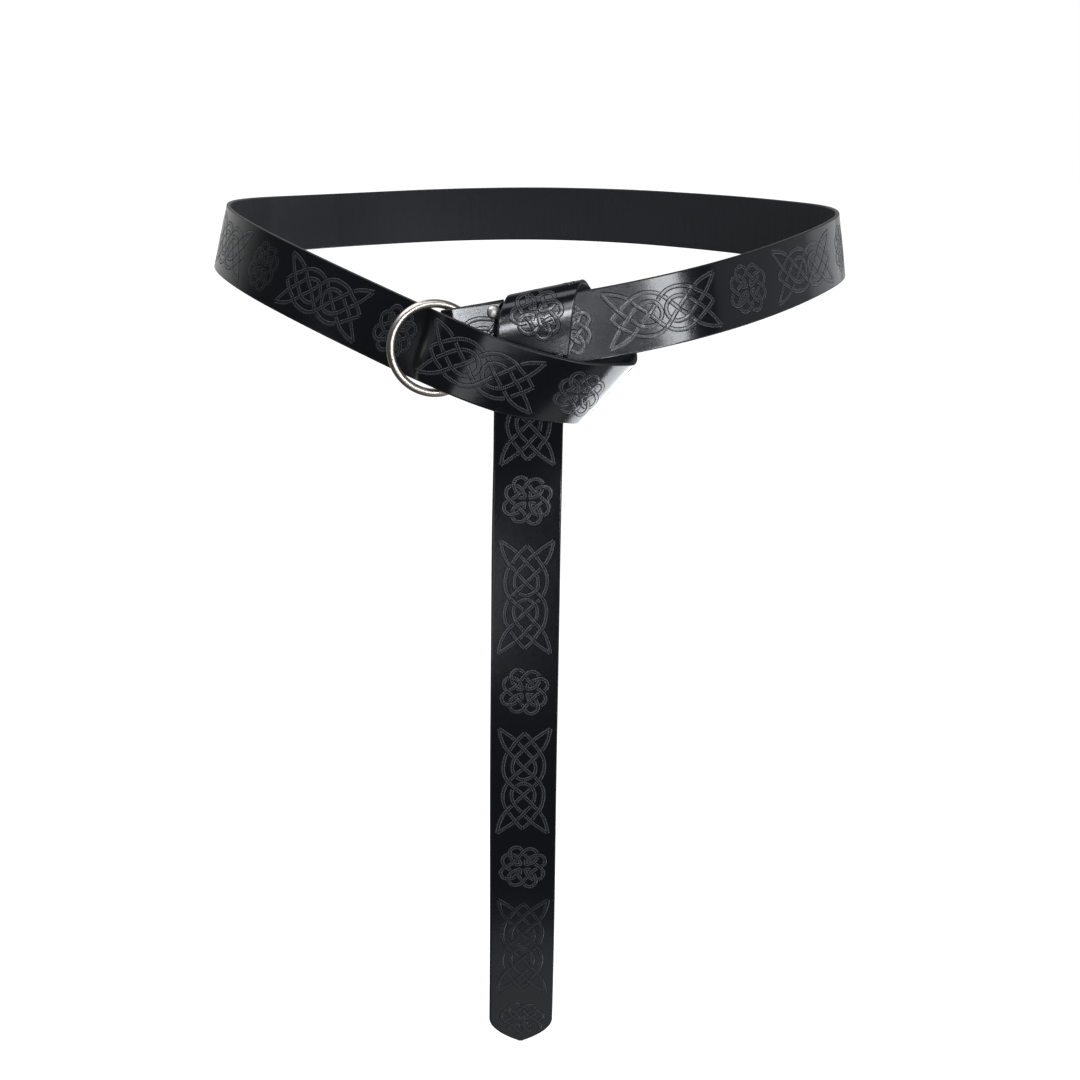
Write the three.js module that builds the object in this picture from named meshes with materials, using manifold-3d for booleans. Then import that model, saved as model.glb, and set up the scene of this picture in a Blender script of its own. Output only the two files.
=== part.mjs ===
// A medieval ring belt, tied: a long leather strap, a round steel ring held in its riveted end
// loop, and the two rivets of that loop.
// Millimetres, +Z up, the front of the belt towards -Y. The origin is the middle of the waist.
import * as THREE from 'three';
import { mergeVertices } from 'three/addons/utils/BufferGeometryUtils.js';
import Module from 'manifold-3d';

// Driving dimensions
const STRAP_WIDTH = 38;
const STRAP_THICKNESS = 2.4;
const TIP_LENGTH = 16.5; // the tail's point: its sides curve in over this length
const TIP_FLAT = 3; // flat left at the very end of the point
const TIP_FULLNESS = 0.8; // under 1 makes the point blunter
const RING_OUTER = 51.4;
const RING_WIRE = 4.6;
const RIVET_HEAD = 7.5;
const RIVET_HEAD_HEIGHT = 1.8;
const RIVET_SHANK = 3;
const RIVET_BACK = 6.5;
const RIVET_BACK_THICKNESS = 1;
const RIVET_FROM_EDGE = 6.2; // from the strap's edge to a rivet's middle
const HOLE_CLEARANCE = 0.3; // all round a rivet's shank
const HOLE_REACH = 10; // length of the cut, from in front of the leather to behind it
const SEAT_GAP = 0.3; // between a rivet's head and the leather it holds
const LOOP_TO_RIVETS = 27; // from the tip of the ring loop to the rivets
const LOOP_DEPTH = 8.4; // between the middles of the leather in front of and behind the ring's wire
const LOOP_CLOSED = 3.4; // the same where the rivets hold it shut
const LOOP_STRAIGHT = 11.4; // the stretch behind the wire before the leather closes in
const LOOP_CLOSING = 6.8; // the stretch over which it closes
const LOOP_END = 34; // from the tip of the loop to the cut end of the leather behind
const LOOP_DROP = 0.3; // how much lower the leather runs behind the wire than in front of it
const LOOP_TIP = LOOP_DEPTH / 2 + STRAP_THICKNESS / 2; // how far the loop reaches past its frame
const RING_CENTRE = [-47.3, -196.4, -36.1];
const RING_YAW = 11;
const RING_PITCH = 5;

// How finely the strap is cut into sections
const SECTION_STEP = 6;
const TIP_SECTIONS = 9;
const LOOP_SECTIONS = 10; // round the ring's wire
const RING_SIDES = 60;
const RING_WIRE_SIDES = 12;
const RIVET_SIDES = 18;
const RIVET_DOME_STEPS = 5;
const SECTION_BEND = 14; // most degrees that the strap turns from one section to the next
const TIP_CLEAR = 1; // no further section this close to the last one of the point
const NEARBY = 0.05; // how far to each side the curve is read for its heading
const WELD = 1e-4; // corners closer than this are one

// The strap's middle line from the tip of the tail, up through the knot and round the waist to
// the ring. Each row is one section. turn: how far the section's line is swung from straight
// down towards -X, in degrees; away: how far its end leans towards +Y, in degrees; skew: how much
// farther along the strap one end of the line lies than the other, in a fold that slants.
const ROWS = [
  // the tail, from its tip up to the knot
  { x: -3.8, y: -160, z: -457.5, turn: 93, away: -6 },
  { x: -2.9, y: -168.5, z: -410, turn: 93, away: -6 },
  { x: -2.1, y: -177, z: -350, turn: 92.5, away: -6 },
  { x: -1.6, y: -182, z: -295, turn: 92, away: -6 },
  { x: -0.9, y: -184.5, z: -240, turn: 92, away: -6 },
  { x: -0.1, y: -185, z: -185, turn: 91.5, away: -6 },
  { x: 0.7, y: -184.8, z: -131, turn: 91.5, away: -7 },
  { x: 1.6, y: -185.9, z: -91, turn: 91.5, away: -11 },
  { x: 3.2, y: -194.7, z: -50.2, turn: 94, away: -13 },
  // in front of the right side, up to its top edge
  { x: 4.9, y: -196.3, z: -30.5, turn: 81, away: -14.5, skew: -15 },
  { x: 6.6, y: -195.8, z: -14.2, turn: 79.5, away: -14, skew: -17 },
  // the roll over that edge
  { x: 8.3, y: -193.4, z: -9.7, turn: 79.5, away: -14, skew: -17 },
  { x: 10.1, y: -189.5, z: -6.6, turn: 79.5, away: -14, skew: -17 },
  { x: 11.9, y: -185, z: -6, turn: 79.5, away: -14, skew: -17 },
  { x: 14, y: -181, z: -8, turn: 79.5, away: -14, skew: -17 },
  { x: 16.3, y: -178.8, z: -12, turn: 79.5, away: -14, skew: -17 },
  // behind the right side, down to the slanting fold
  { x: 27, y: -175.4, z: -30, turn: 58, away: -3, skew: 3 },
  { x: 41.4, y: -172, z: -49, turn: 41.5, away: 4, skew: 22.5 },
  // the slanting fold
  { x: 44.8, y: -174.4, z: -55.6, turn: 41.5, away: 4.5, skew: 22.5 },
  { x: 45.2, y: -178.6, z: -59.6, turn: 41.5, away: 5.5, skew: 22.5 },
  { x: 43.2, y: -184, z: -61.3, turn: 41.5, away: 7, skew: 22.5 },
  { x: 38.4, y: -189, z: -61, turn: 41.5, away: 8.5, skew: 22.5 },
  // the front, from the slanting fold to the ring
  { x: 17.1, y: -199.6, z: -58.1, turn: 41.8, away: 8.5, skew: 18.2 },
  { x: 6, y: -202.2, z: -55.6, turn: 41.8, away: 8.5, skew: 18.2 },
  { x: -1.5, y: -203.2, z: -53.6, turn: 39.5, away: 8.2, skew: 16.5 },
  { x: -12, y: -204.8, z: -50.2, turn: 18, away: 7.5 },
  { x: -25.9, y: -206.2, z: -44.7, turn: 20, away: 5 },
  { x: -42.3, y: -203.3, z: -37.9, turn: 20.2, away: 1.5 },
  // through the ring and along the left side
  { x: -54.2, y: -194.8, z: -33.8, turn: 21, away: -1.5 },
  { x: -67.8, y: -184, z: -29, turn: 22.5, away: -4.8 },
  { x: -95.5, y: -165, z: -18.5, turn: 23.5, away: -4.3 },
  { x: -125.4, y: -141, z: -7.3, turn: 22.8, away: -3.2 },
  { x: -151.4, y: -112, z: 1.9, turn: 21.3, away: -1.8 },
  { x: -171.5, y: -78.2, z: 8.7, turn: 18.9, away: -0.3 },
  { x: -185.2, y: -41, z: 13.3, turn: 15.5, away: 1 },
  { x: -189.8, y: -1.4, z: 15.4, turn: 11.3, away: 1.5 },
  { x: -185.9, y: 38.3, z: 15.8, turn: 6.6, away: 1.1 },
  { x: -177.8, y: 77.5, z: 15.6, turn: 1.6, away: 0.1 },
  { x: -164.5, y: 115.2, z: 15.4, turn: -2.2, away: -1.2 },
  { x: -141.8, y: 147.9, z: 15.7, turn: -3.2, away: -1.9 },
  { x: -109.5, y: 171.2, z: 16.7, turn: -2.4, away: -0.6 },
  { x: -71.6, y: 183.4, z: 18.1, turn: -1.6, away: 1.9 },
  { x: -31.8, y: 185, z: 19.2, turn: -1.5, away: 4.1 },
  { x: 7.5, y: 177.8, z: 19.7, turn: -1.8, away: 5 },
  { x: 44.7, y: 163.2, z: 19.4, turn: -1.3, away: 4.5 },
  { x: 78.8, y: 142.4, z: 18.6, turn: -0.4, away: 3 },
  { x: 109, y: 116.2, z: 17.4, turn: 1, away: 1.4 },
  { x: 134.7, y: 85.7, z: 16.3, turn: 1.9, away: 0.7 },
  { x: 155.8, y: 51.7, z: 15.2, turn: 0.8, away: 1.3 },
  { x: 173.9, y: 16.1, z: 14.1, turn: -2.4, away: 2.9 },
  { x: 187.6, y: -21.4, z: 12.7, turn: -6.2, away: 4.3 },
  { x: 187.7, y: -60.8, z: 9.5, turn: -8.8, away: 3.8 },
  { x: 171.2, y: -96.7, z: 4.2, turn: -9.9, away: 2 },
  { x: 147.5, y: -128.3, z: -2.1, turn: -10.2, away: 0 },
  { x: 118.5, y: -154.8, z: -9.1, turn: -10.5, away: -2.5 },
  { x: 83.7, y: -172.7, z: -16.6, turn: -10.7, away: -3.5 },
  { x: 45.4, y: -181.2, z: -23.8, turn: -10.5, away: -2.5 },
  { x: 22.9, y: -186, z: -27.2, turn: -10.1, away: -3 },
  { x: -11.5, y: -193.2, z: -31, turn: -10, away: -3.5 },
  { x: -35.1, y: -198.1, z: -33.7, turn: -10, away: -3.5 },
];

// Geometry helpers
const degrees = THREE.MathUtils.degToRad;

function lineDirection(turn, away) {
  const t = degrees(turn);
  const a = degrees(away);
  return new THREE.Vector3(-Math.sin(t) * Math.cos(a), Math.sin(a), -Math.cos(t) * Math.cos(a));
}

// Second derivatives of the smooth curve through values at the given places (a natural spline)
function bending(places, values) {
  const count = places.length;
  const upper = new Array(count).fill(0);
  const result = new Array(count).fill(0);
  for (let i = 1; i < count - 1; i++) {
    const before = places[i] - places[i - 1];
    const after = places[i + 1] - places[i];
    const pull = (values[i + 1] - values[i]) / after - (values[i] - values[i - 1]) / before;
    const pivot = 2 * (before + after) - before * upper[i - 1];
    upper[i] = after / pivot;
    result[i] = (6 * pull - before * result[i - 1]) / pivot;
  }
  for (let i = count - 2; i > 0; i--) result[i] -= upper[i] * result[i + 1];
  return result;
}

function smoothThrough(places, values) {
  const bends = bending(places, values);
  return (at) => {
    let i = 0;
    while (i < places.length - 2 && at > places[i + 1]) i++;
    const step = places[i + 1] - places[i];
    const right = (at - places[i]) / step;
    const left = 1 - right;
    const cubic = (left ** 3 - left) * bends[i] + (right ** 3 - right) * bends[i + 1];
    return left * values[i] + right * values[i + 1] + (cubic * step * step) / 6;
  };
}

// The strap's sections, each with its middle, its line across, its length and its skew
function strapSections() {
  const places = [0];
  const point = (row) => new THREE.Vector3(row.x, row.y, row.z);
  for (let i = 1; i < ROWS.length; i++) {
    places.push(places[i - 1] + point(ROWS[i]).distanceTo(point(ROWS[i - 1])));
  }
  const column = (name) => smoothThrough(places, ROWS.map((row) => row[name] ?? 0));
  const [x, y, z, turn, away, skew] = ['x', 'y', 'z', 'turn', 'away', 'skew'].map(column);
  const middle = (at) => new THREE.Vector3(x(at), y(at), z(at));
  const heading = (at) => middle(at + NEARBY).sub(middle(at - NEARBY)).normalize();

  const stops = [];
  for (let k = 0; k <= TIP_SECTIONS; k++) stops.push((TIP_LENGTH * k) / TIP_SECTIONS);
  for (let i = 1; i < places.length; i++) {
    const bend = THREE.MathUtils.radToDeg(heading(places[i - 1]).angleTo(heading(places[i])));
    const length = places[i] - places[i - 1];
    const parts = Math.max(1, Math.ceil(length / SECTION_STEP), Math.ceil(bend / SECTION_BEND));
    for (let k = 1; k <= parts; k++) {
      const at = places[i - 1] + (length * k) / parts;
      if (at > TIP_LENGTH + TIP_CLEAR) stops.push(at);
    }
  }
  return stops.map((at) => {
    const across = lineDirection(turn(at), away(at));
    return {
      middle: middle(at),
      across,
      face: heading(at).cross(across).normalize(),
      length: Math.hypot(widthFromTip(at), skew(at)),
    };
  });
}

function widthFromTip(distance) {
  if (distance >= TIP_LENGTH) return STRAP_WIDTH;
  const share = (distance / TIP_LENGTH) ** TIP_FULLNESS;
  return Math.max(TIP_FLAT, STRAP_WIDTH * Math.sin((Math.PI / 2) * share));
}

// The frame at the ring end: where the leather starts to turn round the ring's wire
function loopFrame(sections) {
  const { middle, across, face } = sections.at(-1);
  return { middle, across, face, ahead: across.clone().cross(face).normalize() };
}

// Places are given as distances along and behind the leather at the loop's frame
function behindLoop(frame, along, behind) {
  return frame.middle.clone().addScaledVector(frame.ahead, along).addScaledVector(frame.face, -behind);
}

// The leather's way round the ring's wire and back to the rivets
function ringLoopSections(frame) {
  const radius = LOOP_DEPTH / 2;
  const path = [];
  for (let k = 1; k <= LOOP_SECTIONS; k++) {
    const angle = (Math.PI * k) / LOOP_SECTIONS;
    path.push([radius * Math.sin(angle), radius * (1 - Math.cos(angle))]);
  }
  path.push([-LOOP_STRAIGHT / 2, LOOP_DEPTH]);
  for (let k = 0; k <= LOOP_SECTIONS; k++) {
    const share = k / LOOP_SECTIONS;
    const closed = (1 - Math.cos(Math.PI * share)) / 2;
    path.push([
      -LOOP_STRAIGHT - LOOP_CLOSING * share,
      LOOP_DEPTH + (LOOP_CLOSED - LOOP_DEPTH) * closed,
    ]);
  }
  path.push([LOOP_TIP - LOOP_END, LOOP_CLOSED]);
  return path.map(([along, behind], i) => {
    const [alongBefore, behindBefore] = path[i - 1] ?? [0, 0];
    const [alongAfter, behindAfter] = path[i + 1] ?? path[i];
    const forward = alongAfter - alongBefore;
    const backward = behindAfter - behindBefore;
    const drop = LOOP_DROP * Math.min(1, (i + 1) / LOOP_SECTIONS);
    return {
      middle: behindLoop(frame, along, behind).addScaledVector(frame.across, drop),
      across: frame.across,
      face: frame.face.clone().multiplyScalar(forward).addScaledVector(frame.ahead, backward).normalize(),
      length: STRAP_WIDTH,
    };
  });
}

// One closed body from sections of four corners each
function stripGeometry(sections, thickness) {
  const corners = [];
  for (const { middle, across, face, length } of sections) {
    for (const [side, front] of [[-1, 1], [1, 1], [1, -1], [-1, -1]]) {
      const corner = middle.clone().addScaledVector(across, (side * length) / 2);
      corners.push(...corner.addScaledVector(face, (front * thickness) / 2));
    }
  }
  const index = [0, 1, 2, 0, 2, 3];
  for (let i = 0; i < sections.length - 1; i++) {
    for (let side = 0; side < 4; side++) {
      const a = 4 * i + side;
      const b = 4 * i + ((side + 1) % 4);
      index.push(a, a + 4, b, b, a + 4, b + 4);
    }
  }
  const last = 4 * (sections.length - 1);
  index.push(last, last + 2, last + 1, last, last + 3, last + 2);
  const geometry = new THREE.BufferGeometry();
  geometry.setAttribute('position', new THREE.Float32BufferAttribute(corners, 3));
  geometry.setIndex(index);
  return geometry;
}

// Cutting with manifold-3d
const wasm = await Module();
wasm.setup();

function toSolid(geometry) {
  const bare = geometry.clone();
  for (const name of ['normal', 'uv']) bare.deleteAttribute(name);
  const merged = mergeVertices(bare, WELD);
  return new wasm.Manifold(new wasm.Mesh({
    numProp: 3,
    vertProperties: new Float32Array(merged.attributes.position.array),
    triVerts: new Uint32Array(merged.index.array),
  }));
}

function toGeometry(solid) {
  const mesh = solid.getMesh();
  const geometry = new THREE.BufferGeometry();
  geometry.setAttribute('position', new THREE.BufferAttribute(mesh.vertProperties, 3));
  geometry.setIndex(new THREE.BufferAttribute(mesh.triVerts, 1));
  geometry.computeVertexNormals();
  return geometry;
}

// A node's placing: its Y axis along the given direction, at the given place
function setAlong(object, direction, place) {
  object.quaternion.setFromUnitVectors(new THREE.Vector3(0, 1, 0), direction);
  object.position.copy(place);
  object.updateMatrixWorld();
  return object;
}

// The two rivets sit side by side across the loop, their axes along the leather's face
function rivetPlaces(frame) {
  const along = LOOP_TIP - LOOP_TO_RIVETS;
  const fromMiddle = STRAP_WIDTH / 2 - RIVET_FROM_EDGE;
  return [-fromMiddle, fromMiddle].map((across) => (
    behindLoop(frame, along, 0).addScaledVector(frame.across, across)
  ));
}

function strap(sections, frame) {
  let solid = toSolid(stripGeometry([...sections, ...ringLoopSections(frame)], STRAP_THICKNESS));
  const hole = new THREE.CylinderGeometry(
    RIVET_SHANK / 2 + HOLE_CLEARANCE,
    RIVET_SHANK / 2 + HOLE_CLEARANCE,
    HOLE_REACH,
    RIVET_SIDES,
  );
  for (const place of rivetPlaces(frame)) {
    const middle = place.clone().addScaledVector(frame.face, -LOOP_CLOSED / 2);
    const cutter = setAlong(new THREE.Object3D(), frame.face, middle);
    solid = solid.subtract(toSolid(hole.clone().applyMatrix4(cutter.matrixWorld)));
  }
  return named('strap', toGeometry(solid), LEATHER);
}

// A rivet turned about Y: its back disc, shank and domed head in one profile
function rivet(name, frame, place) {
  const headSeat = STRAP_THICKNESS / 2 + SEAT_GAP;
  const backSeat = -LOOP_CLOSED - STRAP_THICKNESS / 2 - SEAT_GAP;
  const profile = [
    [0, backSeat - RIVET_BACK_THICKNESS],
    [RIVET_BACK / 2, backSeat - RIVET_BACK_THICKNESS],
    [RIVET_BACK / 2, backSeat],
    [RIVET_SHANK / 2, backSeat],
    [RIVET_SHANK / 2, headSeat],
  ];
  for (let k = 0; k <= RIVET_DOME_STEPS; k++) {
    const angle = (Math.PI / 2) * (k / RIVET_DOME_STEPS);
    profile.push([
      k === RIVET_DOME_STEPS ? 0 : (RIVET_HEAD / 2) * Math.cos(angle),
      headSeat + RIVET_HEAD_HEIGHT * Math.sin(angle),
    ]);
  }
  const points = profile.map(([radius, height]) => new THREE.Vector2(radius, height));
  const mesh = named(name, new THREE.LatheGeometry(points, RIVET_SIDES), STEEL);
  return setAlong(mesh, frame.face, place);
}

// The ring lies in its loop, its plane swung a little so that its free side stands forward
function ring() {
  const radius = (RING_OUTER - RING_WIRE) / 2;
  const geometry = new THREE.TorusGeometry(radius, RING_WIRE / 2, RING_WIRE_SIDES, RING_SIDES);
  geometry.rotateX(Math.PI / 2);
  const facing = new THREE.Vector3(
    Math.sin(degrees(RING_YAW)) * Math.cos(degrees(RING_PITCH)),
    -Math.cos(degrees(RING_YAW)) * Math.cos(degrees(RING_PITCH)),
    Math.sin(degrees(RING_PITCH)),
  );
  return setAlong(named('ring', geometry, STEEL), facing, new THREE.Vector3(...RING_CENTRE));
}

function named(name, geometry, material) {
  const mesh = new THREE.Mesh(geometry, material.clone());
  mesh.name = name;
  return mesh;
}

const LEATHER = new THREE.MeshStandardMaterial({ color: 0x17181a, roughness: 0.35, metalness: 0 });
const STEEL = new THREE.MeshStandardMaterial({ color: 0xb9b7b3, roughness: 0.18, metalness: 1 });

const sections = strapSections();
const frame = loopFrame(sections);
const [upperPlace, lowerPlace] = rivetPlaces(frame);
const belt = new THREE.Group();
belt.add(
  strap(sections, frame),
  ring(),
  rivet('rivet_upper', frame, upperPlace),
  rivet('rivet_lower', frame, lowerPlace),
);

export default belt;
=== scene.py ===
"""A tied medieval ring belt: black leather with embossed knotwork, a nickel ring and two rivets.

Sizes are millimetres in this script's tables and functions, and metres in Blender's meshes. The
front of the belt faces -Y and the origin is the middle of the waist.
"""

import math

import bpy
import numpy as np
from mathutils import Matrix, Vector


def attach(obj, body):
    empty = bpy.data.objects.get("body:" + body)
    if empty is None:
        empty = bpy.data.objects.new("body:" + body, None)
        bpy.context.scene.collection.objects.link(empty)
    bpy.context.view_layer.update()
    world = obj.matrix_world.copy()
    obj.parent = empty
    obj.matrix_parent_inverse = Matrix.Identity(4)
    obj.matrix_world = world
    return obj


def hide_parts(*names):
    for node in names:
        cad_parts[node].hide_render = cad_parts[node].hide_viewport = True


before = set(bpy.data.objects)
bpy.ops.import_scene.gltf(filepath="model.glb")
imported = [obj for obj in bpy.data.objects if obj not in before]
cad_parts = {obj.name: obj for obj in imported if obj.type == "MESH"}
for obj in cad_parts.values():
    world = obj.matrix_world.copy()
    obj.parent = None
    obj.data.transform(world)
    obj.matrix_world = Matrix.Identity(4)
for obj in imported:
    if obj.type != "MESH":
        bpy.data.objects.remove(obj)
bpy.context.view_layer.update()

MM = 0.001

# The leather. FLAT_MARGIN is a narrow strip beside the rounding that stays flat, so that smooth
# shading doesn't run from the rounded edge over the whole face.
STRAP_WIDTH = 38
STRAP_THICKNESS = 2.4
EDGE_ROUNDING = 0.7
FLAT_MARGIN = 0.35
TIP_LENGTH = 16.5
TIP_FLAT = 3
TIP_FULLNESS = 0.8

# The leather round the ring's wire. LOOP_DEPTH and LOOP_CLOSED are the distances between the
# middles of its front and its back, where it holds the wire and where it is closed. The back runs
# straight, closes, and ends LOOP_END behind the loop's tip, and it lies LOOP_DROP lower.
LOOP_DEPTH = 8.4
LOOP_CLOSED = 3.4
LOOP_STRAIGHT = 11.4
LOOP_CLOSING = 6.8
LOOP_END = 34
LOOP_DROP = 0.3
LOOP_TIP = LOOP_DEPTH / 2 + STRAP_THICKNESS / 2

# The metal. RIVET_AXIS is the radius at which a rivet's outline starts and ends, almost nothing.
RING_OUTER = 51.4
RING_WIRE = 4.6
RING_CENTRE = (-47.3, -196.4, -36.1)
RING_YAW = 11
RING_PITCH = 5
LOOP_TO_RIVETS = 27
RIVET_FROM_EDGE = 6.2
RIVET_HEAD = 7.5
RIVET_HEAD_HEIGHT = 1.8
RIVET_SHANK = 3
RIVET_BACK = 6.5
RIVET_BACK_THICKNESS = 1
RIVET_AXIS = 0.01
SEAT_GAP = 0.3

# How finely the leather and the metal are cut
STEP_ALONG = 2.0
STEPS_ACROSS = 8
STEPS_ROUND_EDGE = 3
TIP_STEPS = 24
LOOP_STEPS = 24
RING_STEPS = 144
WIRE_STEPS = 24
RIVET_STEPS = 40
DOME_STEP = 6

# A heading is measured over this distance each way, and a place on a slanting section is found
# in this many rounds.
NEARBY = 0.05
SLANT_ROUNDS = 6

# The strap's middle line from the tip of the tail to the ring, a section in each row:
# x, y, z of its middle; turn, its line's swing from straight down towards -X, in degrees;
# away, the lean of the line's end towards +Y, in degrees; skew, its slant along the strap.
ROWS = np.array([
    # the tail, from its tip up to the knot
    (-3.8, -160, -457.5, 93, -6, 0),
    (-2.9, -168.5, -410, 93, -6, 0),
    (-2.1, -177, -350, 92.5, -6, 0),
    (-1.6, -182, -295, 92, -6, 0),
    (-0.9, -184.5, -240, 92, -6, 0),
    (-0.1, -185, -185, 91.5, -6, 0),
    (0.7, -184.8, -131, 91.5, -7, 0),
    (1.6, -185.9, -91, 91.5, -11, 0),
    (3.2, -194.7, -50.2, 94, -13, 0),
    # in front of the right side, up to its top edge
    (4.9, -196.3, -30.5, 81, -14.5, -15),
    (6.6, -195.8, -14.2, 79.5, -14, -17),
    # the roll over that edge
    (8.3, -193.4, -9.7, 79.5, -14, -17),
    (10.1, -189.5, -6.6, 79.5, -14, -17),
    (11.9, -185, -6, 79.5, -14, -17),
    (14, -181, -8, 79.5, -14, -17),
    (16.3, -178.8, -12, 79.5, -14, -17),
    # behind the right side, down to the slanting fold
    (27, -175.4, -30, 58, -3, 3),
    (41.4, -172, -49, 41.5, 4, 22.5),
    # the slanting fold
    (44.8, -174.4, -55.6, 41.5, 4.5, 22.5),
    (45.2, -178.6, -59.6, 41.5, 5.5, 22.5),
    (43.2, -184, -61.3, 41.5, 7, 22.5),
    (38.4, -189, -61, 41.5, 8.5, 22.5),
    # the front, from the slanting fold to the ring
    (17.1, -199.6, -58.1, 41.8, 8.5, 18.2),
    (6, -202.2, -55.6, 41.8, 8.5, 18.2),
    (-1.5, -203.2, -53.6, 39.5, 8.2, 16.5),
    (-12, -204.8, -50.2, 18, 7.5, 0),
    (-25.9, -206.2, -44.7, 20, 5, 0),
    (-42.3, -203.3, -37.9, 20.2, 1.5, 0),
    # through the ring and along the left side
    (-54.2, -194.8, -33.8, 21, -1.5, 0),
    (-67.8, -184, -29, 22.5, -4.8, 0),
    (-95.5, -165, -18.5, 23.5, -4.3, 0),
    (-125.4, -141, -7.3, 22.8, -3.2, 0),
    (-151.4, -112, 1.9, 21.3, -1.8, 0),
    (-171.5, -78.2, 8.7, 18.9, -0.3, 0),
    (-185.2, -41, 13.3, 15.5, 1, 0),
    (-189.8, -1.4, 15.4, 11.3, 1.5, 0),
    (-185.9, 38.3, 15.8, 6.6, 1.1, 0),
    (-177.8, 77.5, 15.6, 1.6, 0.1, 0),
    (-164.5, 115.2, 15.4, -2.2, -1.2, 0),
    (-141.8, 147.9, 15.7, -3.2, -1.9, 0),
    (-109.5, 171.2, 16.7, -2.4, -0.6, 0),
    (-71.6, 183.4, 18.1, -1.6, 1.9, 0),
    (-31.8, 185, 19.2, -1.5, 4.1, 0),
    (7.5, 177.8, 19.7, -1.8, 5, 0),
    (44.7, 163.2, 19.4, -1.3, 4.5, 0),
    (78.8, 142.4, 18.6, -0.4, 3, 0),
    (109, 116.2, 17.4, 1, 1.4, 0),
    (134.7, 85.7, 16.3, 1.9, 0.7, 0),
    (155.8, 51.7, 15.2, 0.8, 1.3, 0),
    (173.9, 16.1, 14.1, -2.4, 2.9, 0),
    (187.6, -21.4, 12.7, -6.2, 4.3, 0),
    (187.7, -60.8, 9.5, -8.8, 3.8, 0),
    (171.2, -96.7, 4.2, -9.9, 2, 0),
    (147.5, -128.3, -2.1, -10.2, 0, 0),
    (118.5, -154.8, -9.1, -10.5, -2.5, 0),
    (83.7, -172.7, -16.6, -10.7, -3.5, 0),
    (45.4, -181.2, -23.8, -10.5, -2.5, 0),
    (22.9, -186, -27.2, -10.1, -3, 0),
    (-11.5, -193.2, -31, -10, -3.5, 0),
    (-35.1, -198.1, -33.7, -10, -3.5, 0),
])


def bending(places, values):
    """Second derivatives of the smooth curve through values at the given places."""
    count = len(places)
    upper = np.zeros(count)
    result = np.zeros(count)
    for i in range(1, count - 1):
        before = places[i] - places[i - 1]
        after = places[i + 1] - places[i]
        pull = (values[i + 1] - values[i]) / after - (values[i] - values[i - 1]) / before
        pivot = 2 * (before + after) - before * upper[i - 1]
        upper[i] = after / pivot
        result[i] = (6 * pull - before * result[i - 1]) / pivot
    for i in range(count - 2, 0, -1):
        result[i] -= upper[i] * result[i + 1]
    return result


class Curve:
    """The natural spline through the rows of a table, by the distance between their points."""

    def __init__(self, rows, point_columns):
        steps = np.linalg.norm(np.diff(rows[:, :point_columns], axis=0), axis=1)
        self.rows = rows
        self.places = np.concatenate([[0], np.cumsum(steps)])
        self.bends = np.stack([bending(self.places, column) for column in rows.T], axis=1)
        self.length = self.places[-1]

    def at(self, places):
        i = np.clip(np.searchsorted(self.places, places) - 1, 0, len(self.places) - 2)
        step = (self.places[i + 1] - self.places[i])[:, None]
        right = (places - self.places[i])[:, None] / step
        left = 1 - right
        cubic = (left**3 - left) * self.bends[i] + (right**3 - right) * self.bends[i + 1]
        return left * self.rows[i] + right * self.rows[i + 1] + cubic * step * step / 6


STRAP = Curve(ROWS.astype(float), 3)


def unit(vectors):
    return vectors / np.linalg.norm(vectors, axis=-1, keepdims=True)


def sections(places):
    """Middles, lines across, outward directions and lengths of the strap's sections."""
    rows = STRAP.at(places)
    heading = STRAP.at(places + NEARBY)[:, :3] - STRAP.at(places - NEARBY)[:, :3]
    turn, away = np.radians(rows[:, 3]), np.radians(rows[:, 4])
    flat = np.cos(away)
    across = np.stack([-np.sin(turn) * flat, np.sin(away), -np.cos(turn) * flat], axis=1)
    face = unit(np.cross(unit(heading), across))
    return rows[:, :3], across, face, np.hypot(STRAP_WIDTH, rows[:, 5])


def on_leather(along, side, height):
    """Points over the outer face, by distances along and across the strap laid flat."""
    places = along.copy()
    for _ in range(SLANT_ROUNDS):
        places = along - side * STRAP.at(places)[:, 5] / STRAP_WIDTH
    middle, across, face, length = sections(places)
    out = (length * side / STRAP_WIDTH)[:, None]
    return middle + across * out + face * (STRAP_THICKNESS / 2 + height)[:, None]


def loop_frame():
    """Where the leather starts to turn round the ring's wire: place, ahead, across and face."""
    middle, across, face, _ = (values[0] for values in sections(np.array([STRAP.length])))
    return middle, unit(np.cross(across, face)), across, face


def loop_sections():
    """The sections of the leather round the ring's wire and back to the rivets."""
    middle, ahead, across, face = loop_frame()
    radius = LOOP_DEPTH / 2
    path = []
    for k in range(1, LOOP_STEPS + 1):
        angle = math.pi * k / LOOP_STEPS
        path.append((radius * math.sin(angle), radius * (1 - math.cos(angle))))
    path += [(-LOOP_STRAIGHT * share, LOOP_DEPTH) for share in (0.25, 0.5, 0.75)]
    for share in np.linspace(0, 1, LOOP_STEPS):
        closed = (1 - math.cos(math.pi * share)) / 2
        behind = LOOP_DEPTH + (LOOP_CLOSED - LOOP_DEPTH) * closed
        path.append((-LOOP_STRAIGHT - LOOP_CLOSING * share, behind))
    path.append((LOOP_TIP - LOOP_END, LOOP_CLOSED))
    path = np.array(path)
    drop = LOOP_DROP * np.minimum(1, np.arange(1, len(path) + 1) / LOOP_STEPS)[:, None]
    middles = middle + path[:, :1] * ahead - path[:, 1:] * face + drop * across
    step = np.vstack([path[1:], path[-1:]]) - np.vstack([[0, 0], path[:-1]])
    faces = unit(step[:, :1] * face + step[:, 1:] * ahead)
    return middles, np.tile(across, (len(path), 1)), faces, np.full(len(path), STRAP_WIDTH)


def width_from_tip(places):
    share = np.clip(places / TIP_LENGTH, 0, 1) ** TIP_FULLNESS
    return np.maximum(TIP_FLAT, STRAP_WIDTH * np.sin(np.pi / 2 * share))


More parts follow.
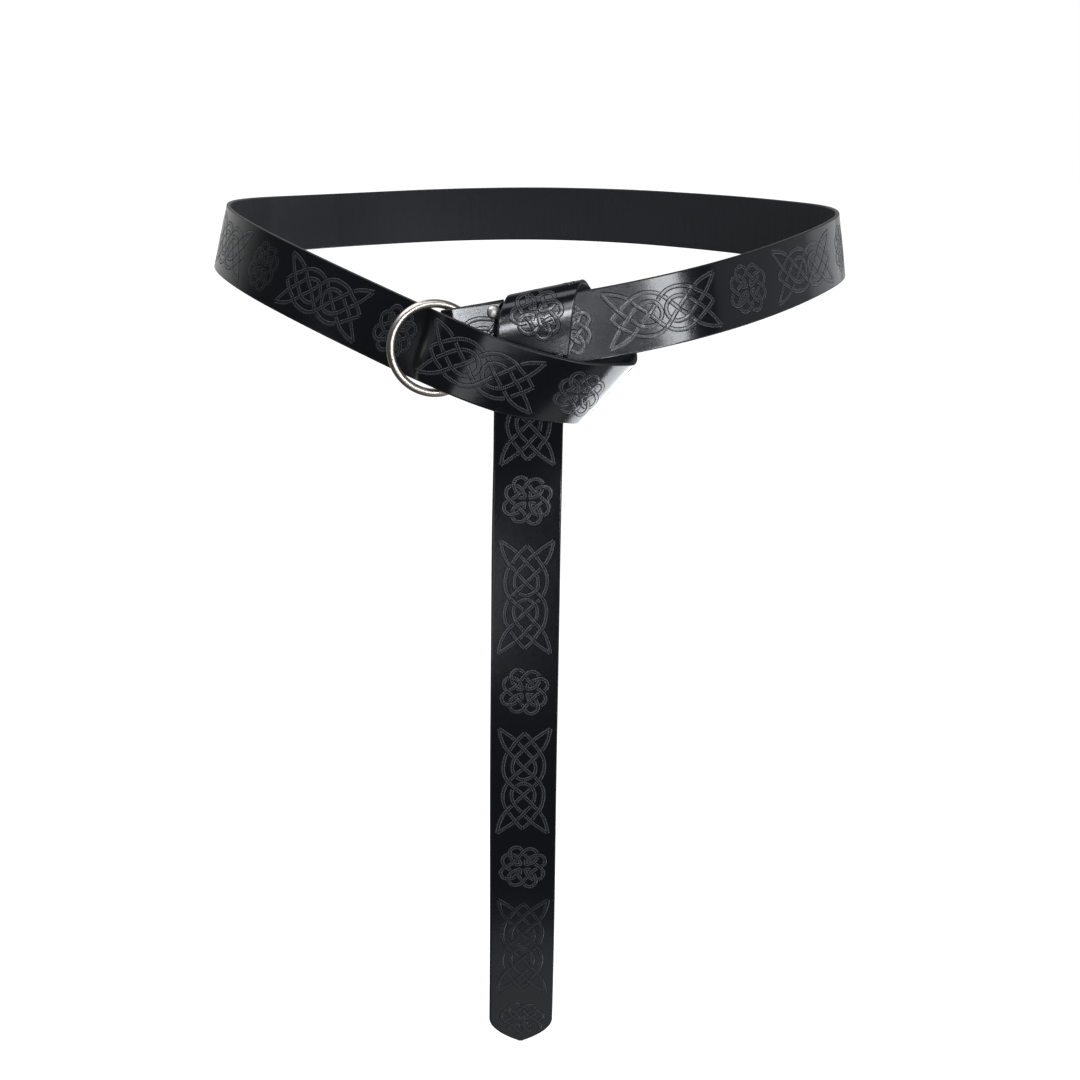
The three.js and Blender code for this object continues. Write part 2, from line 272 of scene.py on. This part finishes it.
def add_piece(name, points, faces, materials, kinds=None, floats=None):
    """A smooth object from points in millimetres; kinds are its faces' places in materials."""
    mesh = bpy.data.meshes.new(name)
    mesh.from_pydata((np.asarray(points) * MM).tolist(), [], faces)
    for material in materials:
        mesh.materials.append(material)
    if kinds is not None:
        mesh.polygons.foreach_set("material_index", kinds)
    for key, values in (floats or {}).items():
        mesh.attributes.new(key, "FLOAT", "POINT").data.foreach_set("value", values)
    mesh.polygons.foreach_set("use_smooth", [True] * len(mesh.polygons))
    mesh.update()
    piece = bpy.data.objects.new(name, mesh)
    bpy.context.scene.collection.objects.link(piece)
    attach(piece, "root")
    return piece


def grid_faces(rows, columns, closed_across=False, closed_along=False):
    """Four-sided faces over a grid of points, row after row."""
    faces = []
    for i in range(rows if closed_along else rows - 1):
        for k in range(columns if closed_across else columns - 1):
            a, b = i * columns, (i + 1) % rows * columns
            after = (k + 1) % columns
            faces.append((a + k, b + k, b + after, a + after))
    return faces


OUTER, EDGE, INNER = 0, 1, 2


def strap_profile():
    """A section's outline as places across and heights, and the material of each of its sides."""
    reach = STRAP_WIDTH / 2 - EDGE_ROUNDING
    rise = STRAP_THICKNESS / 2 - EDGE_ROUNDING
    flat = reach - FLAT_MARGIN
    sides = [-reach, *np.linspace(-flat, flat, STEPS_ACROSS - 1), reach]
    half = [(side, STRAP_THICKNESS / 2) for side in sides]
    for k in range(1, STEPS_ROUND_EDGE + 1):
        angle = math.pi / 2 * k / STEPS_ROUND_EDGE
        out, up = EDGE_ROUNDING * math.sin(angle), EDGE_ROUNDING * math.cos(angle)
        half.append((reach + out, rise + up))
    for k in range(STEPS_ROUND_EDGE):
        angle = math.pi / 2 * k / STEPS_ROUND_EDGE
        out, down = EDGE_ROUNDING * math.cos(angle), EDGE_ROUNDING * math.sin(angle)
        half.append((reach + out, -rise - down))
    edge = [EDGE] * (2 * STEPS_ROUND_EDGE + 1)
    points = half + [(-side, -height) for side, height in half]
    return np.array(points), [OUTER] * STEPS_ACROSS + edge + [INNER] * STEPS_ACROSS + edge


def strap(materials):
    tip = TIP_LENGTH * (np.arange(TIP_STEPS) / TIP_STEPS) ** 2
    body = np.linspace(TIP_LENGTH, STRAP.length, round((STRAP.length - TIP_LENGTH) / STEP_ALONG))
    places = np.concatenate([tip, body])
    middle, across, face, length = (
        np.concatenate(both) for both in zip(sections(places), loop_sections())
    )
    narrow = np.ones(len(middle))
    narrow[: len(places)] = width_from_tip(places) / STRAP_WIDTH
    profile, kinds = strap_profile()
    out = profile[None, :, 0] / STRAP_WIDTH * (length * narrow)[:, None]
    points = (
        middle[:, None, :]
        + across[:, None, :] * out[:, :, None]
        + face[:, None, :] * profile[None, :, 1, None]
    )
    count = len(profile)
    faces = grid_faces(len(middle), count, closed_across=True)
    first = list(range(count))
    last = [(len(middle) - 1) * count + k for k in reversed(range(count))]
    faces += [first, last]
    kinds = kinds * (len(middle) - 1) + [EDGE, EDGE]
    piece = add_piece("strap_leather", points.reshape(-1, 3), faces, materials, kinds)
    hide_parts("strap")


# Knotwork. A strand is a row of points on the flat leather, along and across it from the
# motif's middle. Its marks say for each crossing that it meets whether it runs over (o) or
# under (u) the other strand. A band is a strand's stretch that shows: it rises a little over the
# strands that it crosses and stops short of those that it runs under.
BAND_REACH = 1.3
BAND_SHOULDER = 0.8
BAND_STEP = 0.7
BAND_COLUMNS = np.array([-BAND_REACH, -BAND_SHOULDER, 0.0, BAND_SHOULDER, BAND_REACH])
BAND_HEIGHTS = np.array([0.02, 0.08, 0.12, 0.08, 0.02])
BAND_LIFT = 0.1
BAND_LIFT_REACH = 1.6
BAND_GAP = 1.25
SHORTEST_BAND = 3
FLATTEST_SINE = 0.5
TIP_REACH = 2.0
EDGE_MARGIN = 1.6

# Steps of one strand as near as these along it don't cross, the second where its end meets its
# start. Smaller cross products than PARALLEL count as that.
NEXT_STEPS = 4
CLOSING_STEPS = 6
PARALLEL = 1e-9

# Three of the long knot's six strands, of which the others are turned copies, and half of one of
# the round knot's two strands
LONG_TIP_TO_PEAK = [
    (-32.1, 15.0), (-27.3, 14.1), (-19.1, 10.4), (-13.2, 4.7), (-8.3, 0.0), (-1.8, -7.0),
    (1.6, -9.6), (9.0, -11.8), (14.6, -10.9), (20.0, -7.8), (24.3, -4.7), (27.7, -2.1),
    (29.4, -0.4),
]
LONG_FAR_TIP_TO_PEAK = [
    (32.2, 14.2), (24.3, 12.3), (19.7, 9.9), (15.2, 6.0), (10.1, 1.5), (6.7, -1.8), (3.6, -5.3),
    (-1.8, -10.0), (-6.4, -11.5), (-12.6, -11.1), (-17.1, -9.6), (-20.0, -7.4), (-23.9, -4.9),
    (-27.3, -1.8), (-29.3, 0.4),
]
LONG_TIP_TO_TIP = [
    (-32.1, 15.0), (-27.9, 8.8), (-24.5, 4.5), (-21.1, 0.9), (-18.5, -1.2), (-14.3, -4.9),
    (-9.8, -6.4), (-5.2, -5.8), (-2.3, -3.4), (-1.2, 0.1), (-2.4, 3.6), (-4.6, 6.0), (-7.8, 6.8),
    (-11.5, 6.2), (-14.3, 4.9), (-16.6, 3.1), (-20.0, 0.0), (-23.6, -3.3), (-26.2, -5.9),
    (-29.3, -9.9), (-32.1, -14.1),
]
ROUND_QUARTER = [
    (-7.75, 1.26), (-4.2, 4.4), (-2.1, 6.9), (2.5, 11.5), (5.45, 11.65), (7.96, 9.55), (8.25, 6.5),
    (6.5, 3.44), (3.77, 1.93), (2.4, 1.5), (1.5, 1.5), (1.5, 2.4), (1.68, 4.2), (4.6, 6.3),
    (7.75, 7.6), (10.3, 7.46), (12.4, 5.6), (12.8, 3.0), (11.0, 0.5),
]


def turned(points, quarters):
    """Points turned clockwise by quarter turns."""
    for _ in range(quarters):
        points = [(across, -along) for along, across in points]
    return points


LONG_MOTIF = [
    (LONG_TIP_TO_PEAK, "uououuo", False),
    (turned(LONG_TIP_TO_PEAK, 2), "ououuou", False),
    (LONG_FAR_TIP_TO_PEAK, "uouoouo", False),
    (turned(LONG_FAR_TIP_TO_PEAK, 2), "ououoou", False),
    (LONG_TIP_TO_TIP, "ouououou", False),
    (turned(LONG_TIP_TO_TIP, 2), "uouououo", False),
]
ROUND_MOTIF = [
    (ROUND_QUARTER + turned(ROUND_QUARTER, 2), "ou" * 8, True),
    (turned(ROUND_QUARTER, 1) + turned(ROUND_QUARTER, 3), "ou" * 8, True),
]


def strand_path(points, closed):
    """The smooth path of a strand as closely spaced points."""
    if not closed:
        curve = Curve(np.array(points), 2)
        return curve.at(np.linspace(0, curve.length, round(curve.length / BAND_STEP)))
    lap = 4
    curve = Curve(np.array(points[-lap:] + points + points[: lap + 1]), 2)
    start, end = curve.places[lap], curve.places[lap + len(points)]
    return curve.at(np.linspace(start, end, round((end - start) / BAND_STEP)))


def at_end(strand, path, place):
    """Whether a place on an open strand is where it joins the next one at a tip."""
    closed = strand[2]
    return not closed and min(place, len(path) - place) * BAND_STEP < TIP_REACH


def crossings(strands, paths):
    """Where the paths cross, for each path: a list of (place along it, sine of the angle)."""
    met = [[] for _ in paths]
    for i, one in enumerate(paths):
        for j in range(i, len(paths)):
            p, r = one[:-1, None], np.diff(one, axis=0)[:, None]
            q, s = paths[j][None, :-1], np.diff(paths[j], axis=0)[None]
            cross = r[..., 0] * s[..., 1] - r[..., 1] * s[..., 0]
            cross = np.where(np.abs(cross) < PARALLEL, PARALLEL, cross)
            gap = q - p
            t = (gap[..., 0] * s[..., 1] - gap[..., 1] * s[..., 0]) / cross
            u = (gap[..., 0] * r[..., 1] - gap[..., 1] * r[..., 0]) / cross
            hit = (t >= 0) & (t < 1) & (u >= 0) & (u < 1)
            for a, b in zip(*np.nonzero(hit)):
                apart = abs(a - b)
                next_to = apart < NEXT_STEPS or apart > len(one) - CLOSING_STEPS
                if i == j and (next_to or b < a):
                    continue
                if at_end(strands[i], one, a) or at_end(strands[j], paths[j], b):
                    continue
                sine = abs(cross[a, b]) / np.linalg.norm(r[a, 0]) / np.linalg.norm(s[0, b])
                met[i].append((a + t[a, b], sine))
                met[j].append((b + u[a, b], sine))
    return [sorted(places) for places in met]


def motif_bands(strands):
    """The stretches of a motif that show: points, lift over crossings and distance along."""
    paths = [strand_path(points, closed) for points, _, closed in strands]
    bands = []
    for path, met, (_, marks, _) in zip(paths, crossings(strands, paths), strands):
        steps = np.linalg.norm(np.diff(path, axis=0), axis=1)
        run = np.concatenate([[0], np.cumsum(steps)])
        fine = np.linspace(0, run[-1], 2 * len(run))
        points = np.stack([np.interp(fine, run, path[:, k]) for k in (0, 1)], axis=1)
        lift = np.zeros(len(fine))
        shown = np.ones(len(fine), bool)
        for (place, sine), mark in zip(met, marks):
            apart = np.abs(fine - np.interp(place, np.arange(len(run)), run))
            if mark == "o":
                lift += BAND_LIFT * np.exp(-((apart / BAND_LIFT_REACH) ** 2))
            else:
                shown &= apart > BAND_GAP / max(sine, FLATTEST_SINE)
        edges = np.flatnonzero(np.diff(np.concatenate([[0], shown, [0]])))
        for start, stop in edges.reshape(-1, 2):
            if stop - start >= SHORTEST_BAND:
                bands.append((points[start:stop], lift[start:stop], fine[start:stop]))
    return bands


# The middles of the motifs along the strap. A long motif lies halfway between two round ones, but
# the one inside the slanting fold sits a little nearer to the tip.
ROUND_PLACES = np.concatenate([
    [14.5, 122, 230, 339, 443, 555, 665.5],
    np.linspace(775, 1545.5, 8),
    [1653.5, 1761.5, 1869.5],
])
LONG_PLACES = (ROUND_PLACES[:-1] + ROUND_PLACES[1:]) / 2
FOLDED_MOTIF = 4
FOLDED_SHIFT = 5
LONG_PLACES[FOLDED_MOTIF] -= FOLDED_SHIFT

# Stretches where the motifs are worn: start, end and what is left of their depth
WORN_STRETCHES = ((0, 95, 0.45), (650, 750, 0.65), (750, 800, 0.22), (1600, 1900, 0.85))


def depth_left(place):
    return next((left for start, end, left in WORN_STRETCHES if start < place < end), 1)


def knotwork(name, motif, places, material):
    """Fine raised bands over the leather; the material draws their grooves and stitch marks."""
    bands = motif_bands(motif)
    columns = len(BAND_COLUMNS)
    points, faces, band, run, depth = [], [], [], [], []
    for place in places:
        for middle, lift, along in bands:
            heading = np.gradient(middle, axis=0)
            aside = unit(np.stack([-heading[:, 1], heading[:, 0]], axis=1))
            spread = middle[:, None] + aside[:, None] * BAND_COLUMNS[None, :, None]
            on_strap = place - spread[..., 0]
            side = -spread[..., 1]
            room = width_from_tip(on_strap) / 2 - EDGE_MARGIN
            inside = (np.abs(side) < room) & (on_strap > 0) & (on_strap < STRAP.length)
            fits = inside.all(axis=1)
            in_one_piece = fits[np.argmax(fits):][: fits.sum()].all()
            if fits.sum() < SHORTEST_BAND or not in_one_piece:
                continue
            on_strap, side, kept = on_strap[fits], side[fits], lift[fits]
            height = depth_left(place) * (BAND_HEIGHTS[None, :] + kept[:, None])
            first = sum(len(part) for part in points)
            points.append(on_leather(on_strap.ravel(), side.ravel(), height.ravel()))
            faces += [[first + v for v in face] for face in grid_faces(len(kept), columns)]
            band.append(np.tile(BAND_COLUMNS, len(kept)))
            run.append(np.repeat(along[fits], columns))
            depth.append(np.full(len(kept) * columns, float(depth_left(place))))
    floats = {
        "band": np.concatenate(band),
        "run": np.concatenate(run),
        "depth": np.concatenate(depth),
    }
    piece = add_piece(name, np.concatenate(points), faces, [material], floats=floats)
    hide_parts("strap")


def axes_along(direction):
    """Two directions square to the given one and to each other."""
    first = unit(np.cross(direction, [0.0, 0.0, 1.0]))
    return first, np.cross(direction, first)


def ring(material):
    yaw, pitch = math.radians(RING_YAW), math.radians(RING_PITCH)
    facing = np.array([
        math.sin(yaw) * math.cos(pitch), -math.cos(yaw) * math.cos(pitch), math.sin(pitch)
    ])
    first, second = axes_along(facing)
    around = np.radians(np.arange(RING_STEPS) * 360 / RING_STEPS)[:, None, None]
    wire = np.radians(np.arange(WIRE_STEPS) * 360 / WIRE_STEPS)[None, :, None]
    outward = first * np.cos(around) + second * np.sin(around)
    radius = (RING_OUTER - RING_WIRE) / 2 + RING_WIRE / 2 * np.cos(wire)
    points = np.array(RING_CENTRE) + outward * radius + facing * RING_WIRE / 2 * np.sin(wire)
    faces = grid_faces(RING_STEPS, WIRE_STEPS, closed_across=True, closed_along=True)
    piece = add_piece("ring_steel", points.reshape(-1, 3), faces, [material])
    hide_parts("ring")


def rivet(name, node, side, material):
    """One rivet: its back disc, shank and domed head turned about the leather's face."""
    middle, ahead, across, face = loop_frame()
    place = middle + ahead * (LOOP_TIP - LOOP_TO_RIVETS) + across * side
    head_seat = STRAP_THICKNESS / 2 + SEAT_GAP
    back_seat = -LOOP_CLOSED - STRAP_THICKNESS / 2 - SEAT_GAP
    profile = [
        (RIVET_AXIS, back_seat - RIVET_BACK_THICKNESS),
        (RIVET_BACK / 2, back_seat - RIVET_BACK_THICKNESS),
        (RIVET_BACK / 2, back_seat),
        (RIVET_SHANK / 2, back_seat),
        (RIVET_SHANK / 2, head_seat),
    ]
    for angle in np.radians(np.arange(0, 90, DOME_STEP)):
        height = head_seat + RIVET_HEAD_HEIGHT * math.sin(angle)
        profile.append((RIVET_HEAD / 2 * math.cos(angle), height))
    profile.append((RIVET_AXIS, head_seat + RIVET_HEAD_HEIGHT))
    profile = np.array(profile)
    first, second = axes_along(face)
    around = np.radians(np.arange(RIVET_STEPS) * 360 / RIVET_STEPS)[None, :, None]
    outward = first * np.cos(around) + second * np.sin(around)
    points = place + outward * profile[:, None, :1] + face * profile[:, None, 1:]
    faces = grid_faces(len(profile), RIVET_STEPS, closed_across=True)
    piece = add_piece(name, points.reshape(-1, 3), faces, [material])
    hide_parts(node)


# Materials. Depths are in millimetres, and a noise's scale is its number of waves in a metre.
LEATHER_COLOR = (0.007, 0.008, 0.0105, 1)
LEATHER_ROUGHNESS = (0.1, 0.22)
PATCHES = 45.0
PORES = 1300.0
FOLDS = 240.0
GRAIN_DEPTH = 0.035
COAT = 0.5
COAT_ROUGHNESS = 0.12

INNER_COLOR = (0.05, 0.052, 0.056, 1)
INNER_ROUGHNESS = 0.55
INNER_GLOSS = 0.13
FIBRES = 1500.0
FIBRE_DEPTH = 0.06
CREASES = (260.0, 260.0, 14.0)
CREASE_DEPTH = 0.45

EDGE_COLOR = (0.03, 0.03, 0.032, 1)
EDGE_ROUGHNESS = 0.38
EDGE_GRAIN = 900.0
EDGE_GRAIN_DEPTH = 0.04

# The lines on a band, by their distance from its middle and how far they reach to each side
# The colour of the rims and stitch marks is partly the tooling's own rubbed paleness and partly
# painted highlight, standing in for the light that the walls of the tooling catch.
RIM_RUB_AND_GLINT_COLOR = (0.19, 0.198, 0.215, 1)
BAND_ROUGHNESS = (0.2, 0.6)
BAND_GLOSS = (0.5, 0.1)
GROOVE_PLACE = 1.08
GROOVE_REACH = 0.25
GROOVE_DEPTH = 0.25
RIM_PLACE = 0.74
RIM_REACH = 0.17
STITCH_STEP = 1.05
STITCH_STRENGTH = 0.38

RING_COLOR = (0.78, 0.71, 0.64, 1)
RING_ROUGHNESS = 0.32
RIVET_COLOR = (0.9, 0.88, 0.85, 1)
RIVET_ROUGHNESS = 0.4


class Shader:
    """A new material with its nodes. A value is a number, a colour or another node's output."""

    def __init__(self, name):
        self.material = bpy.data.materials.new(name)
        self.material.use_nodes = True
        self.tree = self.material.node_tree
        self.surface = self.tree.nodes["Principled BSDF"]

    def feed(self, socket, value):
        if isinstance(value, bpy.types.NodeSocket):
            self.tree.links.new(value, socket)
        else:
            socket.default_value = value

    def set(self, node, **values):
        """Feeds the sockets that are named like the keys, with _ for spaces."""
        for key, value in values.items():
            self.feed(node.inputs[key.replace("_", " ")], value)
        return node

    def add(self, kind, **values):
        return self.set(self.tree.nodes.new(kind), **values)

    def maths(self, operation, *values):
        node = self.tree.nodes.new("ShaderNodeMath")
        node.operation = operation
        for socket, value in zip(node.inputs, values):
            self.feed(socket, value)
        return node.outputs[0]

    def number(self, name):
        """A mesh's own number of that name, given at its points."""
        node = self.tree.nodes.new("ShaderNodeAttribute")
        node.attribute_name = name
        return node.outputs["Fac"]

    def place(self):
        return self.tree.nodes.new("ShaderNodeTexCoord").outputs["Object"]

    def noise(self, scale, detail=3.0):
        node = self.add("ShaderNodeTexNoise", Vector=self.place(), Scale=scale, Detail=detail)
        return node.outputs["Fac"]

    def between(self, share, low, high):
        """A number that goes from low to high as share goes from 0 to 1."""
        return self.maths("MULTIPLY_ADD", share, high - low, low)

    def blend(self, share, one, other):
        node = self.tree.nodes.new("ShaderNodeMix")
        node.data_type = "RGBA"
        for k, value in ((0, share), (6, one), (7, other)):
            self.feed(node.inputs[k], value)
        return node.outputs[2]

    def bump(self, height, depth, under=None):
        """The direction of a surface raised by height times a depth in millimetres."""
        node = self.add("ShaderNodeBump", Height=height, Distance=depth * MM)
        if under is not None:
            self.set(node, Normal=under)
        return node.outputs[0]


def leather_grain(shader, depth):
    pores = shader.noise(PORES)
    folds = shader.noise(FOLDS, 2.0)
    return shader.bump(shader.maths("ADD", pores, folds), depth)


def outer_leather():
    shader = Shader("leather_outer")
    shader.set(
        shader.surface,
        Base_Color=LEATHER_COLOR,
        Roughness=shader.between(shader.noise(PATCHES, 4.0), *LEATHER_ROUGHNESS),
        Normal=leather_grain(shader, GRAIN_DEPTH),
        Coat_Weight=COAT,
        Coat_Roughness=COAT_ROUGHNESS,
    )
    return shader.material


def inner_leather():
    shader = Shader("leather_inner")
    creases = shader.add("ShaderNodeTexNoise", Scale=1.0, Detail=3.0)
    stretched = shader.tree.nodes.new("ShaderNodeMapping")
    shader.set(stretched, Vector=shader.place(), Scale=CREASES)
    shader.set(creases, Vector=stretched.outputs[0])
    grain = shader.bump(shader.noise(FIBRES), FIBRE_DEPTH)
    shader.set(
        shader.surface,
        Base_Color=INNER_COLOR,
        Roughness=INNER_ROUGHNESS,
        Specular_IOR_Level=INNER_GLOSS,
        Normal=shader.bump(creases.outputs["Fac"], CREASE_DEPTH, grain),
    )
    return shader.material


def cut_edge():
    shader = Shader("leather_edge")
    shader.set(
        shader.surface,
        Base_Color=EDGE_COLOR,
        Roughness=EDGE_ROUGHNESS,
        Normal=shader.bump(shader.noise(EDGE_GRAIN), EDGE_GRAIN_DEPTH),
    )
    return shader.material


def line_along(shader, aside, place, reach):
    """A soft line at a distance from the band's middle."""
    apart = shader.maths("DIVIDE", shader.maths("SUBTRACT", aside, place), reach)
    squared = shader.maths("MULTIPLY", apart, apart)
    return shader.maths("MAXIMUM", shader.maths("SUBTRACT", 1.0, squared), 0.0)


def embossed_leather():
    """Leather with a dark groove along each side of a band, pale rims and stitch marks. Their
    paler colour is partly the tooling's rubbed colour and partly painted highlight.
    """
    shader = Shader("leather_embossed")
    aside = shader.maths("ABSOLUTE", shader.number("band"))
    depth = shader.number("depth")
    groove = line_along(shader, aside, GROOVE_PLACE, GROOVE_REACH)
    rim = line_along(shader, aside, RIM_PLACE, RIM_REACH)
    turns = shader.maths("MULTIPLY", shader.number("run"), 2 * math.pi / STITCH_STEP)
    wave = shader.maths("MAXIMUM", shader.maths("SINE", turns), 0.0)
    inside = shader.maths("LESS_THAN", aside, RIM_PLACE)
    stitch = shader.maths("MULTIPLY", shader.maths("MULTIPLY", wave, inside), STITCH_STRENGTH)
    # The pale rims and stitch marks: partly rubbed colour of the tooling, partly painted
    # highlight.
    light = shader.maths("MULTIPLY", shader.maths("MAXIMUM", rim, stitch), depth)
    dark = shader.maths("MULTIPLY", groove, depth)
    dull = shader.maths("MAXIMUM", light, dark)
    sunk = shader.maths("MULTIPLY", dark, -1.0)
    shader.set(
        shader.surface,
        Base_Color=shader.blend(light, LEATHER_COLOR, RIM_RUB_AND_GLINT_COLOR),
        Roughness=shader.between(dull, *BAND_ROUGHNESS),
        Specular_IOR_Level=shader.between(dark, *BAND_GLOSS),
        Normal=shader.bump(sunk, GROOVE_DEPTH, leather_grain(shader, GRAIN_DEPTH)),
        Coat_Weight=shader.between(dull, COAT, 0.0),
        Coat_Roughness=COAT_ROUGHNESS,
    )
    return shader.material


def metal(name, color, roughness):
    shader = Shader(name)
    shader.set(shader.surface, Base_Color=color, Metallic=1.0, Roughness=roughness)
    return shader.material


def white_surroundings():
    """White where the camera looks straight at it. Else a dim room with a white backdrop."""
    world = bpy.data.worlds.new("surroundings")
    bpy.context.scene.world = world
    world.use_nodes = True
    tree = world.node_tree
    tree.nodes.clear()
    direction = tree.nodes.new("ShaderNodeTexCoord").outputs["Generated"]
    parts = tree.nodes.new("ShaderNodeSeparateXYZ")
    backdrop = tree.nodes.new("ShaderNodeMapRange")
    backdrop.interpolation_type = "SMOOTHSTEP"
    backdrop.inputs["From Min"].default_value = BACKDROP_START
    backdrop.inputs["From Max"].default_value = BACKDROP_FULL
    backdrop.inputs["To Min"].default_value = ROOM_LIGHT
    backdrop.inputs["To Max"].default_value = BACKDROP_LIGHT
    room = tree.nodes.new("ShaderNodeBackground")
    white = tree.nodes.new("ShaderNodeBackground")
    rays = tree.nodes.new("ShaderNodeLightPath")
    mix = tree.nodes.new("ShaderNodeMixShader")
    out = tree.nodes.new("ShaderNodeOutputWorld")
    for background in (room, white):
        background.inputs["Color"].default_value = (1, 1, 1, 1)
    for start, end in (
        (direction, parts.inputs[0]),
        (parts.outputs["Y"], backdrop.inputs["Value"]),
        (backdrop.outputs[0], room.inputs["Strength"]),
        (rays.outputs["Is Camera Ray"], mix.inputs[0]),
        (room.outputs[0], mix.inputs[1]),
        (white.outputs[0], mix.inputs[2]),
        (mix.outputs[0], out.inputs["Surface"]),
    ):
        tree.links.new(start, end)


def white_floor():
    shader = Shader("floor_white")
    shader.set(
        shader.surface,
        Base_Color=(0.9, 0.9, 0.9, 1),
        Roughness=0.9,
        Emission_Color=(1, 1, 1, 1),
        Emission_Strength=1.0,
    )
    mesh = bpy.data.meshes.new("floor")
    signs = ((-1, -1), (1, -1), (1, 1), (-1, 1))
    corners = [(FLOOR_REACH * x, FLOOR_REACH * y, FLOOR_LEVEL) for x, y in signs]
    mesh.from_pydata(corners, [], [(0, 1, 2, 3)])
    mesh.materials.append(shader.material)
    floor = bpy.data.objects.new("floor", mesh)
    bpy.context.scene.collection.objects.link(floor)
    floor.visible_glossy = False
    floor.visible_diffuse = False


# Light: a white backdrop behind the belt and soft boxes round it. The backdrop starts and is full
# at these shares of the way to straight behind. A box's azimuth goes from the front towards +X;
# width and height are the angles that it covers, in degrees; glow is its brightness. Distances
# here are in metres, and WATTS_FOR_GLOW is the power of a square metre with a glow of 1.
ROOM_LIGHT = 0.045
BACKDROP_LIGHT = 0.5
BACKDROP_START = 0.3
BACKDROP_FULL = 0.9
BELT_MIDDLE = Vector((0, -0.18, -0.03))
LIGHT_DISTANCE = 2.0
WATTS_FOR_GLOW = 4
LIGHT_COLOR = (0.92, 0.96, 1.0)
FLOOR_REACH = 40.0
FLOOR_LEVEL = -0.8
BOX_COLUMNS = ("name", "azimuth", "elevation", "width", "height", "glow")
SOFT_BOXES = [
    ("key_right", 35, 10, 13, 14, 8.0),
    ("key_ring_end", 17, 8, 4, 8, 22.0),
    ("key_low", 32, -6, 11, 7, 14.0),
    ("front", -1, -16, 20, 14, 0.95),
    ("below", 40, -62, 40, 20, 0.3),
    ("side_low", 122, -43, 66, 32, 4.3),
    ("overhead", -10, 58, 50, 22, 1.5),
    ("high_left", -90, 62, 50, 34, 1.6),
    ("right", 86, 6, 50, 24, 0.2),
    ("right_back", 126, 8, 26, 24, 0.42),
    ("left", -76, 12, 8, 10, 0.25),
]


def soft_box(box):
    light = bpy.data.lights.new(box["name"], "AREA")
    light.shape = "RECTANGLE"
    light.size = 2 * LIGHT_DISTANCE * math.tan(math.radians(box["width"] / 2))
    light.size_y = 2 * LIGHT_DISTANCE * math.tan(math.radians(box["height"] / 2))
    light.energy = box["glow"] * WATTS_FOR_GLOW * light.size * light.size_y
    light.color = LIGHT_COLOR
    azimuth, elevation = math.radians(box["azimuth"]), math.radians(box["elevation"])
    level = math.cos(elevation)
    way = Vector((math.sin(azimuth) * level, -math.cos(azimuth) * level, math.sin(elevation)))
    lamp = bpy.data.objects.new(box["name"], light)
    lamp.location = BELT_MIDDLE + way * LIGHT_DISTANCE
    lamp.rotation_mode = "QUATERNION"
    lamp.rotation_quaternion = way.to_track_quat("Z", "Y")
    bpy.context.scene.collection.objects.link(lamp)


# The camera: its place and lens in millimetres, and its tilt from straight down in degrees
CAMERA_PLACE = (8, -1092, 67)
CAMERA_TILT = 77
CAMERA_SENSOR = 36
CAMERA_LENS = 56.67


def photo_camera():
    """Stands in front of the belt and looks a little down on it."""
    camera = bpy.data.cameras.new("camera")
    camera.sensor_width = CAMERA_SENSOR
    camera.lens = CAMERA_LENS
    viewer = bpy.data.objects.new("camera", camera)
    viewer.location = Vector(CAMERA_PLACE) * MM
    viewer.rotation_euler = (math.radians(CAMERA_TILT), 0, 0)
    bpy.context.scene.collection.objects.link(viewer)
    bpy.context.scene.camera = viewer


photo_camera()
strap([outer_leather(), cut_edge(), inner_leather()])
embossed = embossed_leather()
knotwork("knotwork_long", LONG_MOTIF, LONG_PLACES, embossed)
knotwork("knotwork_round", ROUND_MOTIF, ROUND_PLACES, embossed)
ring(metal("nickel_ring", RING_COLOR, RING_ROUGHNESS))
rivet_side = STRAP_WIDTH / 2 - RIVET_FROM_EDGE
rivet_metal = metal("nickel_rivet", RIVET_COLOR, RIVET_ROUGHNESS)
rivet("rivet_upper_head", "rivet_upper", -rivet_side, rivet_metal)
rivet("rivet_lower_head", "rivet_lower", rivet_side, rivet_metal)
white_surroundings()
white_floor()
for row in SOFT_BOXES:
    soft_box(dict(zip(BOX_COLUMNS, row)))
bpy.context.scene.view_settings.view_transform = "Standard"
